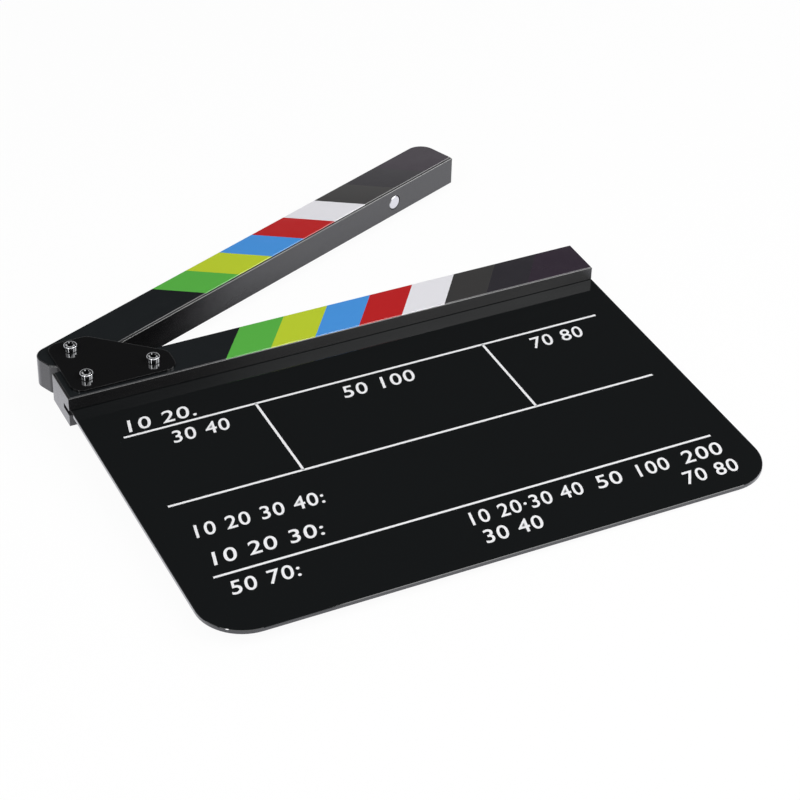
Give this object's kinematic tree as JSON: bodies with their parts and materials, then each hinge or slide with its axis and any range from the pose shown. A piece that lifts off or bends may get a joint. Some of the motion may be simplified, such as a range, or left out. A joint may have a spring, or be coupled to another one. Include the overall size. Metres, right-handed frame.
{
  "type": "clapperboard",
  "caption": "Film slate: a glossy writing board held in a slotted lower stick, and a colour-striped upper stick that swings shut on a bolted corner hinge.",
  "frame": {"origin": "middle of the board's bottom edge, half way through the board's thickness", "axes": "+X along the sticks from the hinge to the tip, +Y from the bottom edge to the sticks, +Z out of the writing face"},
  "size_m": [0.3033, 0.3454, 0.0283],
  "materials": {
    "board_acrylic": "glossy, moulded sheet",
    "stick_paint": "satin black paint on wood",
    "plate_enamel": "gloss black enamel on sheet steel",
    "bolt_steel": "polished",
    "nut_steel": "plain zinc",
    "sleeve_steel": "turned",
    "washer_nylon": "natural nylon",
    "magnet_nickel": "nickel plated",
    "face_black": "glossy vinyl film",
    "stripe_green": "glossy vinyl film",
    "stripe_yellow": "glossy vinyl film",
    "stripe_blue": "glossy vinyl film",
    "stripe_red": "glossy vinyl film",
    "stripe_white": "glossy vinyl film",
    "stripe_brown": "glossy vinyl film",
    "stripe_charcoal": "glossy vinyl film",
    "stripe_plum": "glossy vinyl film"
  },
  "bodies": {
    "slate": {"slate_board": "board_acrylic", "lower_stick": "stick_paint", "front_hinge_plate": "plate_enamel", "rear_hinge_plate": "plate_enamel", "pivot_bolt": "bolt_steel", "fixing_bolts": "bolt_steel", "pivot_lock_nut": "nut_steel", "fixing_lock_nuts": "nut_steel", "pivot_sleeve": "sleeve_steel", "front_pivot_washer": "washer_nylon", "rear_pivot_washer": "washer_nylon", "lower_magnet": "magnet_nickel", "lower_face_black": "face_black", "lower_stripe_green": "stripe_green", "lower_stripe_yellow": "stripe_yellow", "lower_stripe_blue": "stripe_blue", "lower_stripe_red": "stripe_red", "lower_stripe_white": "stripe_white", "lower_stripe_brown": "stripe_brown", "lower_stripe_charcoal": "stripe_charcoal", "lower_stripe_plum": "stripe_plum"},
    "clapper": {"upper_stick": "stick_paint", "upper_magnet": "magnet_nickel", "upper_face_black": "face_black", "upper_stripe_green": "stripe_green", "upper_stripe_yellow": "stripe_yellow", "upper_stripe_blue": "stripe_blue", "upper_stripe_red": "stripe_red", "upper_stripe_white": "stripe_white", "upper_stripe_brown": "stripe_brown", "upper_stripe_charcoal": "stripe_charcoal", "upper_stripe_plum": "stripe_plum"}
  },
  "joints": [
    {"name": "clap_hinge", "type": "hinge", "parent": "slate", "child": "clapper", "pos_m": [-0.136, 0.22855, 0.00045], "axis": [0, 0, 1], "range_deg": [-22.5, 30]}
  ]
}
